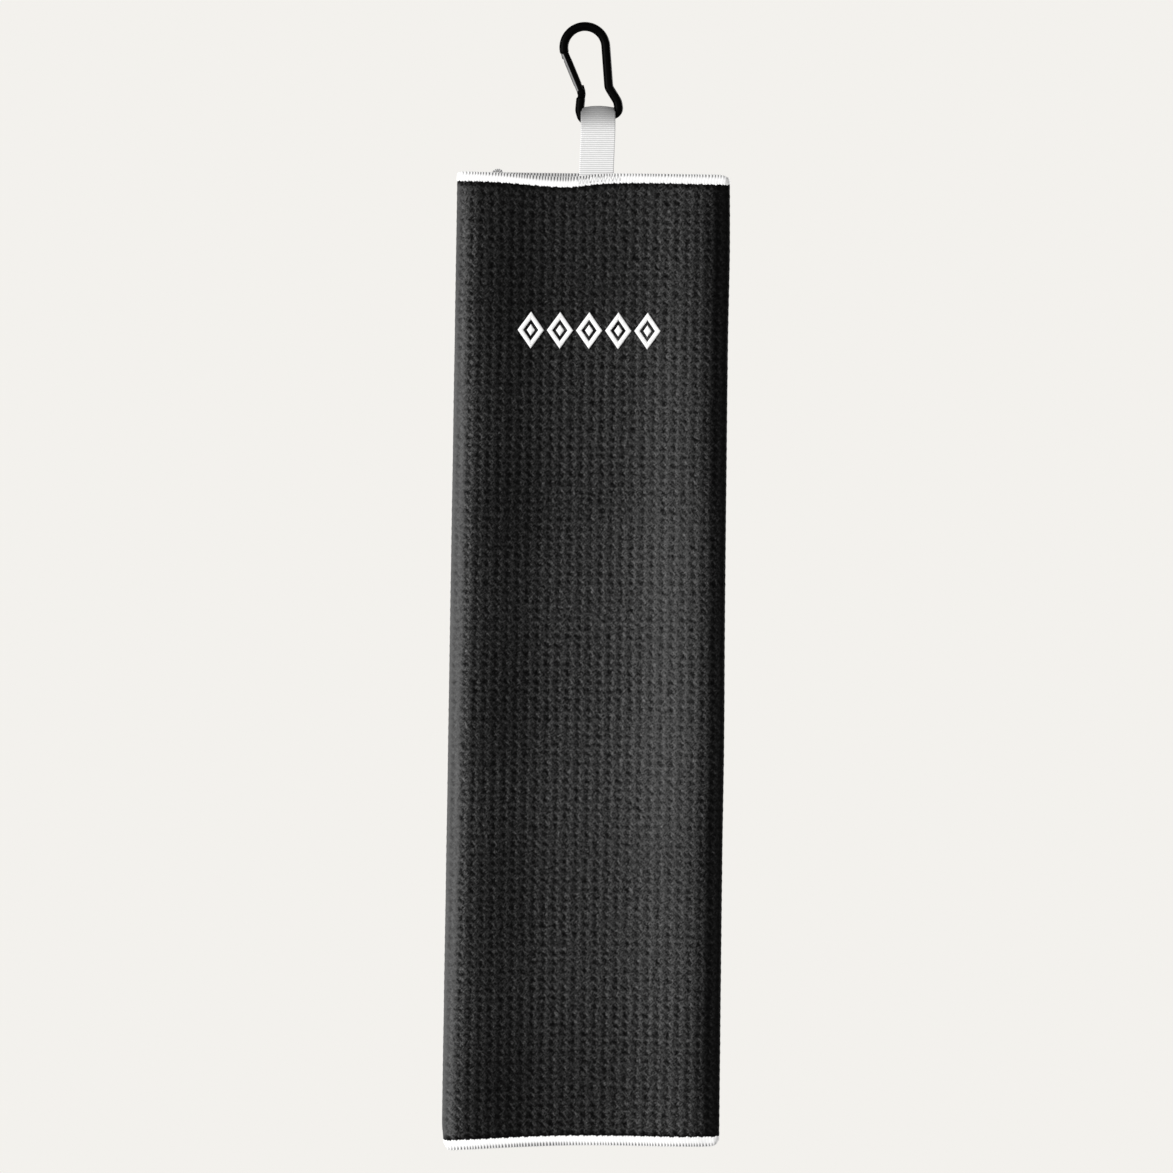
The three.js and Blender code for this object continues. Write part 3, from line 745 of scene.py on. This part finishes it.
def swept(name, path, radius, sides, values, to_row, level):
    """A round bar along a path, at this level, carried to where the cloth hangs."""
    x, y, z = bar_rings(path, radius, sides)
    return mesh_from(name, to_row(x, level + y, z), tube_faces(len(path), sides), values=values)


def arc(centre, radius, start, end, steps):
    """Points on a circle between two angles."""
    turn = np.radians(np.linspace(start, end, steps + 1))
    return np.array(centre) + radius * np.stack([np.cos(turn), np.sin(turn)], -1)


def rounded(corners, radii, steps):
    """A line of corners whose inner corners are arcs of their own radii."""
    corners = [np.array(c, float) for c in corners]
    line = [corners[0][None]]
    for before, here, after, radius in zip(corners, corners[1:], corners[2:], radii):
        back, ahead = before - here, after - here
        back, ahead = back / np.linalg.norm(back), ahead / np.linalg.norm(ahead)
        half = math.acos(np.clip(back @ ahead, -1, 1)) / 2
        inward = (back + ahead) / np.linalg.norm(back + ahead)
        middle = here + inward * radius / math.sin(half)
        start = here + back * radius / math.tan(half) - middle
        end = here + ahead * radius / math.tan(half) - middle
        first = math.degrees(math.atan2(start[1], start[0]))
        turn = math.degrees(math.atan2(start[0] * end[1] - start[1] * end[0], start @ end))
        line.append(arc(middle, radius, first, first + turn, steps))
    return np.concatenate(line + [corners[-1][None]])


def evenly(line, step):
    """The same line with its points a step apart."""
    distance = np.concatenate([[0], np.cumsum(np.linalg.norm(np.diff(line, axis=0), axis=1))])
    keep = np.concatenate([[True], np.diff(distance) > 1e-6])
    at = np.linspace(0, distance[-1], int(distance[-1] / step) + 1)
    return np.stack([np.interp(at, distance[keep], line[keep, i]) for i in range(2)], -1)


def clip_line():
    """The wire's middle: the hook's arc, down the right arm, round the bar and up to the pivot's ear."""
    reach = math.hypot(*CLIP_CORNERS[0])
    waist = math.atan2(-CLIP_CORNERS[0][1], CLIP_CORNERS[0][0])
    taper = math.degrees(waist - math.acos(HOOK_RADIUS / reach))
    hook = np.concatenate([[[-HOOK_RADIUS, -0.5]], arc((0, 0), HOOK_RADIUS, 180, -taper, 60)])
    shoulder = np.array(CLIP_CORNERS[-1])
    up_arm = (PIVOT - shoulder) / np.linalg.norm(PIVOT - shoulder)
    end = PIVOT - up_arm * 2.5
    bent = rounded([hook[-1], *CLIP_CORNERS, end], CLIP_BENDS, 14)
    return evenly(np.concatenate([hook[:-1], bent]), WIRE_STEP)


def plate(outline, half):
    """A flat plate of this outline, with its edge rounded by three rings a side: points and faces."""
    outline = np.asarray(outline)
    middle = outline.mean(0)
    shrink = np.array([0.93, 0.98, 1.0, 1.0, 0.98, 0.93])[:, None, None]
    depth = half * np.array([-1, -0.86, -0.5, 0.5, 0.86, 1])[:, None]
    flat = middle + (outline - middle)[None] * shrink
    points = from_clip(flat[..., 0], depth + 0 * flat[..., 0], flat[..., 1])
    return points.reshape(-1, 3), tube_faces(6, len(outline))


def joined_mesh(name, *shells):
    """One mesh of several closed shells, each turned outwards."""
    every, faces, first = [], [], 0
    for points, shell in shells:
        faces += [f + first for f in turned_out(points, shell)]
        every.append(points)
        first += len(points)
    return mesh_from(name, np.concatenate(every), faces)


def clip_frame_mesh():
    """The bent wire with softened ends, and the two flat tongues the gate's slots close over."""
    line = clip_line()
    distance = WIRE_STEP * np.arange(len(line))
    from_end = np.minimum(distance, distance[::-1])
    radius = WIRE_RADIUS + WIRE_COATING - 0.45 * (1 - np.clip(from_end / 0.8, 0, 1)) ** 2
    wire = from_clip(*bar_rings(line, radius, 36)).reshape(-1, 3), tube_faces(len(line), 36)
    ear = PIVOT + rounded(
        [(0.2, -4.6), (1.1, -3.9), (2.2, -1.2), (2.45, 1.0), (2.3, EAR_TOP), (-2.2, EAR_TOP), (-2.2, -1.0),
         (-2.9, -2.4), (-1.9, -4.6)],
        [0.4, 2.5, 3.0, 0.5, 0.5, 1.0, 0.8], 4,
    )
    ear = ear[: len(ear) // 2 * 2]
    nose_right = -HOOK_RADIUS + PIN_INSET - PIN_RADIUS - GAP
    nose = np.concatenate([
        [[nose_right, 1.0], [nose_right - 1.7, 1.0], [nose_right - 1.7, -3.2]],
        [[nose_right - 1.3, -3.6], [nose_right - 0.4, -3.6], [nose_right, -3.2]],
    ])
    return joined_mesh("clip_frame_wire", wire, plate(ear, TONGUE_HALF), plate(nose, TONGUE_HALF))


def spring_mesh():
    """The gate's leaf spring: a strip with rounded long edges, carried from the fork to the tip in the
    gate's own frame, an eighth of a turn round the gate from the front."""
    tilt = math.atan2(HOOK_RADIUS + PIVOT[0], -PIVOT[1])
    reach = math.hypot(HOOK_RADIUS + PIVOT[0], PIVOT[1]) - 0.5
    along = np.linspace(1.0, reach, 40)[:, None]
    turn = np.linspace(0, 2 * np.pi, 16, endpoint=False)[None, :]
    end = np.sqrt(np.clip(np.minimum(along - 0.9, reach + 0.1 - along) / 0.7, 0.02, 1))
    wide = SPRING_HALF_WIDTH * np.sign(np.cos(turn)) * np.abs(np.cos(turn)) ** 0.35 * end
    deep = SPRING_OUT + SPRING_HALF_THICKNESS * np.sign(np.sin(turn)) * np.abs(np.sin(turn)) ** 0.5
    half_turn = math.sqrt(0.5)
    x, y = (wide - deep) * half_turn, -(wide + deep) * half_turn
    px = PIVOT[0] + x * math.cos(tilt) - along * math.sin(tilt)
    pz = PIVOT[1] + x * math.sin(tilt) + along * math.cos(tilt)
    points = from_clip(px, y, pz)
    return mesh_from("spring_strip", points, tube_faces(40, 16))


def cross_pin_mesh():
    """The latch pin: a bar across the gate with domed ends, wide enough to fill its hole."""
    low, high = (np.array(corner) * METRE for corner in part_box("latch_pin"))
    middle, half = (low + high) / 2, (high[1] - low[1]) / 2
    y = np.array([-1, -0.97, -0.9, -0.3, 0.3, 0.9, 0.97, 1])[:, None]
    radius = PIN_DRAWN_RADIUS * np.array([0.35, 0.75, 1, 1, 1, 1, 0.75, 0.35])[:, None]
    turn = np.linspace(0, 2 * np.pi, 24, endpoint=False)[None, :]
    x, z = middle[0] + radius * np.cos(turn), middle[2] + radius * np.sin(turn)
    points = np.stack(np.broadcast_arrays(x, middle[1] + half * y, z), -1)
    return mesh_from("latch_cross_pin", points, tube_faces(8, 24))


def dressed(node, name, bevel):
    """A merged copy of a CAD node with small rounded edges; its shape stays the CAD's."""
    source = frame["nodes"][node]
    mesh = source.data.copy()
    mesh.materials.clear()
    obj = bpy.data.objects.new(name, mesh)
    bpy.context.scene.collection.objects.link(obj)
    weld = obj.modifiers.new("weld", "WELD")
    weld.merge_threshold = 1e-6
    if bevel:
        edge = obj.modifiers.new("edge", "BEVEL")
        edge.width, edge.segments = bevel / METRE, 2
        edge.limit_method, edge.angle_limit = "ANGLE", math.radians(50)
    graph = bpy.context.evaluated_depsgraph_get()
    final = bpy.data.meshes.new_from_object(obj.evaluated_get(graph))
    bpy.data.objects.remove(obj)
    final.name = name
    final.polygons.foreach_set("use_smooth", np.ones(len(final.polygons), bool))
    final.set_sharp_from_angle(angle=math.radians(35))
    return final


# ---- Webbing
def strap_mesh():
    """A ribbed tape carried up the front, over the bar and down the back. The line in the y-z plane is two
    legs that part by a smooth step and a half circle over the bar; ribs swell its faces by a cosine."""
    top = bar_z - LOOP_DROP
    leg, loop_half = 0.75, WIRE_RADIUS + GAP + STRAP_THICKNESS / 2
    part_low, part_high = top + FLEX_HEIGHT + 3.5, bar_z - 2
    arch_z = bar_z + LOOP_SLACK
    rise = np.linspace(top - SEWN_LENGTH, arch_z, 400)
    side_y = leg + (loop_half - leg) * ease(rise, part_low, part_high)
    over = arc((0, arch_z), loop_half, 180, 0, 60)
    up = np.stack([-side_y, rise], -1)
    line = evenly(np.concatenate([up[:-1], over, up[::-1][1:] * [-1, 1]]), RIB_PITCH / 8)
    along = directions(line)
    distance = RIB_PITCH / 8 * np.arange(len(line))[:, None]
    rib = 0.5 + 0.5 * np.cos(2 * np.pi * distance / RIB_PITCH)
    high = ease(line[:, 1:], bar_z + 3.5, bar_z + 4.9)
    lean = -0.9 * ease(bar_z - line[:, 1:], 4, 32)
    left = -STRAP_HALF + strap_x + 0.7 * high + lean
    right = STRAP_HALF + strap_x - 0.6 * high + lean
    across = np.sin(np.linspace(-np.pi / 2, np.pi / 2, 26))
    side = np.concatenate([across, -across])[None, :]
    face = np.repeat([1.0, -1.0], 26)[None, :] * (1 - 0.5 * ease(np.abs(side), 0.975, 1))
    x = (left + right) / 2 + (right - left) / 2 * side
    x = x + 0.12 * rib * np.sign(side) * ease(np.abs(side), 0.9, 1)
    half = STRAP_THICKNESS / 2 - 0.12 + 0.12 * rib
    crown = -0.95 * side**2 * ease(line[:, 1:], bar_z + 1.5, bar_z + 6)
    y = line[:, :1] - along[:, 1:] * half * face
    z = line[:, 1:] + along[:, :1] * half * face + crown
    points = np.stack(np.broadcast_arrays(x, y, z), -1)
    # Painted shade where the tape turns over the bar, darker towards its edges.
    crest_painted_shade = (0.8 + 0.2 * side**2) * ease(z, bar_z - 10, bar_z + 5) ** 1.15
    values = {"weave_with_painted_light": (rib + 0 * x).ravel(), "crest_painted_shade": (crest_painted_shade + 0 * x).ravel()}
    return mesh_from("webbing_strap", points, tube_faces(*points.shape[:2]), values=values)


def bar_tack_mesh(name, y, outward):
    """A zigzag of thread: a rounded triangle wave swept as a round bar."""
    x = np.linspace(-12, 12, 560)
    swing = np.arcsin(0.96 * np.sin(2 * np.pi * 12 * (x + 12) / 24)) / (np.pi / 2)
    front = 1.0 if outward < 0 else 0.0
    to_row = lambda px, py, pz: settle(px, py, pz, front)
    path = np.stack([x, -HEM_HEIGHT / 2 + 1.7 * swing], -1)
    chance = np.random.default_rng(5).uniform(-0.5, 1.0, 48)[((x + 12) * 2).astype(int) % 48]
    hole = np.repeat(np.clip(chance, 0, 0.95) * hill(np.abs(swing), 0.75, 0.2), 10)
    return swept(name, path, 0.2, 10, {"gap_and_painted_shade": hole}, to_row, y)


def thread_tail_mesh():
    """The overlock's loose end: a low arch along the edge, as a bar whose radius ripples like its twist."""
    t = np.linspace(0, 1, 72)
    x = -58.2 + 5.8 * t + 0.4 * np.sin(2 * np.pi * t)
    z = -1.5 + 2.5 * (1 - (2 * t - 1) ** 4) + 0.5 * t
    radius = 0.85 * (1 + 0.16 * np.cos(2 * np.pi * t * 7)) * np.clip(np.sqrt(t * 14), 0.3, 1)
    ply = np.repeat(0.5 + 0.3 * np.cos(2 * np.pi * t * 7), 12)
    return swept("loose_thread", np.stack([x, z], -1), radius, 12, {"gap_and_painted_shade": ply},
                 lambda px, py, pz: settle(px, py, pz, 0.0), OUTER_Y)


# ---- Embroidery
def rhombus(width, height, t):
    """A point on the diamond's outline at t, 0 to 4, from its right corner round."""
    corner = np.array([[width, 0], [0, height], [-width, 0], [0, -height], [width, 0]]) / 2
    return np.stack([np.interp(t, np.arange(5), corner[:, i]) for i in range(2)], -1)


def on_front(flat_x, flat_z, height):
    """Points a height in front of the hanging front cloth."""
    return settle(flat_x, FRONT_Y - CLOTH_HALF - height, flat_z, 1.0)


def satin_border_mesh(name, middle_x):
    """A padded ring of satin stitches: rings across the border, domed, and rippled along the diamond."""
    t = np.linspace(0, 4, 640, endpoint=False)
    slant = math.hypot(DIAMOND_WIDTH, DIAMOND_HEIGHT)
    inside = 1 - 2 * DIAMOND_BORDER * slant / (DIAMOND_WIDTH * DIAMOND_HEIGHT)
    outer = rhombus(DIAMOND_WIDTH, DIAMOND_HEIGHT, t)
    inner = outer * inside
    turn = np.linspace(0, 2 * np.pi, 16, endpoint=False)[None, :]
    share = 0.5 - 0.5 * np.cos(turn)
    ripple = np.abs(np.sin(np.pi * t * slant / 2 / SATIN_PITCH))[:, None] ** 0.8
    dome = np.sin(turn)
    height = np.where(dome > 0, 0.25 + (STITCH_HEIGHT - 0.05 + 0.16 * ripple) * np.abs(dome) ** 0.6, -0.15)
    ragged = 1 + 0.012 * (ripple - 0.5)
    flat = outer[:, None] * ragged[..., None] * (1 - share[..., None]) + inner[:, None] * share[..., None]
    points = on_front(middle_x + flat[..., 0], -MOTIF_DROP + flat[..., 1], height)
    quads = grid_quads(len(t) + 1, 16, wrap=True) % (len(t) * 16)
    return mesh_from(name, points, [quads], values={"gap_and_painted_shade": 0.0})


def satin_core_mesh(name, middle_x):
    """A small padded diamond: rings from its outline to its middle, domed and rippled by height."""
    t = np.linspace(0, 4, 96, endpoint=False)
    share = np.linspace(0, 1, 14)[:, None]
    outline = rhombus(CORE_WIDTH, CORE_HEIGHT, t)
    shrink = np.where(share < 0.1, 1, 1 - (share - 0.1) / 0.9 * 0.98)
    flat = outline[None] * shrink[..., None]
    ripple = np.abs(np.sin(np.pi * flat[..., 1] / SATIN_PITCH)) ** 0.8
    dome = np.sqrt(np.clip(1 - shrink**2.4, 0, 1))
    height = 0.15 + (STITCH_HEIGHT * 0.95 + 0.14 * ripple) * dome
    height[0] = -0.15
    points = on_front(middle_x + flat[..., 0], -MOTIF_DROP + flat[..., 1], height)
    return mesh_from(name, points, tube_faces(14, 96), values={"gap_and_painted_shade": 0.0})


def backing_mesh():
    """A thin closed sheet behind the embroidery that follows the front's inner face."""
    side = np.concatenate([np.linspace(-1, 1, 60), np.linspace(1, -1, 60)])[None, :]
    depth = np.repeat([0.25, 0.6], 60)[None, :]
    z = np.linspace(-1, 1, 40)[:, None]
    points = settle(
        MOTIF_X + PATCH_WIDTH / 2 * side + 0 * z,
        FRONT_Y + CLOTH_HALF + depth + 0 * z,
        -MOTIF_DROP + PATCH_HEIGHT / 2 * z + 0 * side,
        1.0,
    )
    return mesh_from("stabiliser_patch", points, tube_faces(40, 120))


# ---- The pieces
bodies = {"inner_leaf": (LEFT_X, INNER_Y, 1), "outer_leaf": (RIGHT_X, OUTER_Y, -1)}

front_cloth = piece(
    "front_cloth", front_cloth_mesh(), waffle_microfibre,
    ["front_panel", "left_fold", "right_fold"], body="towel",
)
top_length = 2 * LEAF_WIDTH + FOLD_LENGTH
piece(
    "top_overlock",
    overlock_mesh(
        "top_overlock", along_fold(-LEAF_WIDTH, 0.0, -1, 0.9, 2.2, 0.3), top_length, front_share(-LEAF_WIDTH),
        [LEAF_WIDTH + LEFT_BEND / 2, LEAF_WIDTH + FOLD_LENGTH - RIGHT_BEND / 2],
    ),
    overlock_thread, ["top_hem"], body="towel",
)
piece(
    "bottom_overlock",
    overlock_mesh(
        "bottom_overlock", along_fold(0.0, -CLOTH_LENGTH, 1, 1.8, 1.8, 1.5), FOLD_LENGTH, front_share(0.0),
        [LEFT_BEND / 2, FOLD_LENGTH - RIGHT_BEND / 2],
    ),
    overlock_thread, ["bottom_hem"], body="towel",
)
for number, (leaf, (hinge_x, leaf_y, direction)) in enumerate(bodies.items()):
    top = from_fold(0, 0, LEAF_TWIST_START) / METRE
    free = from_fold(0, 0, LEAF_TWIST_END) / METRE
    bending = ("towel", leaf, top, free)
    side_name, end_name = leaf + "_side_overlock", leaf + "_bottom_overlock"
    side_place = down_leaf_side(hinge_x, leaf_y, direction)
    end_place = along_leaf_end(hinge_x, leaf_y, direction)
    piece(
        leaf + "_cloth",
        leaf_mesh(leaf + "_cloth", hinge_x, leaf_y, direction, 200.0 * (number + 1)),
        waffle_microfibre, [leaf, leaf + "_head"], between=bending,
    )
    side_length = CLOTH_LENGTH - HEM_HEIGHT - 0.9
    piece(
        side_name, overlock_mesh(side_name, side_place, side_length, lambda s: 0.0 * s),
        overlock_thread, [leaf + "_side_hem", leaf + "_head_side_hem"], between=bending,
    )
    piece(
        end_name, overlock_mesh(end_name, end_place, LEAF_WIDTH - 0.6, lambda s: 0.0 * s),
        overlock_thread, [leaf + "_bottom_hem"], body=leaf,
    )

flex_low = (flex_place - np.array([0, 0, 3.0])) / METRE
flex_high = (flex_place + np.array([0, 0, 3.0])) / METRE
piece(
    "webbing_strap", strap_mesh(), grosgrain,
    ["webbing_loop", "strap_front_end", "strap_rear_end"], between=("loop", "towel", flex_high, flex_low),
)
for name, y, outward, node in (
    ("front_zigzag", FRONT_Y - HEM_HALF - 0.1, -1, "front_bar_tack"),
    ("rear_zigzag", OUTER_Y + HEM_HALF + 0.1, 1, "rear_bar_tack"),
):
    piece(name, bar_tack_mesh(name, y, outward), overlock_thread, [node], body="towel")
piece("loose_thread", thread_tail_mesh(), overlock_thread, ["thread_tail"], body="towel")

for number in range(DIAMOND_COUNT):
    middle_x = MOTIF_X + (number - (DIAMOND_COUNT - 1) / 2) * DIAMOND_PITCH
    label = str(number + 1)
    border, core = "satin_border_" + label, "satin_core_" + label
    piece(border, satin_border_mesh(border, middle_x), satin_thread,
          ["diamond_" + label], body="towel")
    piece(core, satin_core_mesh(core, middle_x), satin_thread,
          ["diamond_core_" + label], body="towel")
backing = piece(
    "stabiliser_patch", backing_mesh(), stabiliser, ["embroidery_backing"], body="towel"
)

piece("clip_frame_wire", clip_frame_mesh(), anodised, ["clip_frame"], body="clip_frame")
for node, name, bevel, finish, slot, body in (
    ("gate", "gate_arm", 0, anodised, "clip_black", "gate"),
    ("gate_rivet", "rivet", 0.12, anodised, "spring_steel", "clip_frame"),
):
    piece(name, dressed(node, name, bevel), finish, [node], body=body)

piece("latch_cross_pin", cross_pin_mesh(), anodised, ["latch_pin"], body="gate")
piece("spring_strip", spring_mesh(), steel, ["gate_spring"], body="gate")


# ---- Stage: floor, light and camera
def pale_floor():
    """A wide disc under the towel: rings with a rounded rim."""
    turn = np.linspace(0, 2 * np.pi, 96, endpoint=False)[None, :]
    radius = np.array([0.02, 300, 650, 890, 900, 900, 880, 0.02])[:, None]
    depth = np.array([-760, -760, -760, -760, -762, -770, -772, -772])[:, None]
    points = np.stack(np.broadcast_arrays(radius * np.cos(turn), radius * np.sin(turn), depth), -1)
    material, tree, shader = material_base("pale_floor", 0.8)
    coloured(tree, shader, mixed(tree, noise(tree, object_place(tree), 14), grey(0.7), grey(0.74)))
    mesh = mesh_from("floor", points, tube_faces(8, 96))
    mesh.materials.append(material)
    floor = bpy.data.objects.new("floor", mesh)
    bpy.context.scene.collection.objects.link(floor)


def softbox(name, place, size, power, target=(0, 0, -0.3)):
    """A rectangular lamp turned to the target."""
    light = bpy.data.lights.new(name, "AREA")
    light.shape, light.size, light.size_y, light.energy = "RECTANGLE", *size, power
    lamp = bpy.data.objects.new(name, light)
    lamp.location = place
    lamp.rotation_euler = (Vector(target) - Vector(place)).to_track_quat("-Z", "Y").to_euler()
    bpy.context.scene.collection.objects.link(lamp)


def pale_world():
    """A pale backdrop behind the object and a dimmer, even light on it."""
    world = bpy.data.worlds.new("studio")
    bpy.context.scene.world = world
    world.use_nodes = True
    tree = world.node_tree
    backdrop, fill = tree.nodes["Background"], tree.nodes.new("ShaderNodeBackground")
    backdrop.inputs["Color"].default_value = (0.896, 0.880, 0.847, 1)
    fill.inputs["Color"].default_value = (1, 0.99, 0.98, 1)
    fill.inputs["Strength"].default_value = 0.42
    choose, path = tree.nodes.new("ShaderNodeMixShader"), tree.nodes.new("ShaderNodeLightPath")
    tree.links.new(path.outputs["Is Camera Ray"], choose.inputs[0])
    tree.links.new(fill.outputs[0], choose.inputs[1])
    tree.links.new(backdrop.outputs[0], choose.inputs[2])
    tree.links.new(choose.outputs[0], tree.nodes["World Output"].inputs["Surface"])


pale_floor()
pale_world()
softbox("key", (-1.75, -1.35, 0.0), (0.7, 1.5), 62)
softbox("front_fill", (0.3, -2.6, 0.5), (1.4, 1.4), 12)
softbox("rear_key", (1.5, 1.7, 0.3), (0.9, 1.4), 52)

PICTURE_WIDTH, LENS, SENSOR = 642.8, 200.0, 36.0
camera_data = bpy.data.cameras.new("camera")
camera_data.lens, camera_data.sensor_width = LENS, SENSOR
camera_data.clip_end = 50
camera = bpy.data.objects.new("camera", camera_data)
camera.location = (0.0009, -PICTURE_WIDTH / METRE * LENS / SENSOR, -0.3046)
camera.rotation_euler = (math.radians(90), 0, 0)
bpy.context.scene.collection.objects.link(camera)
bpy.context.scene.camera = camera
bpy.context.scene.view_settings.view_transform = "Standard"
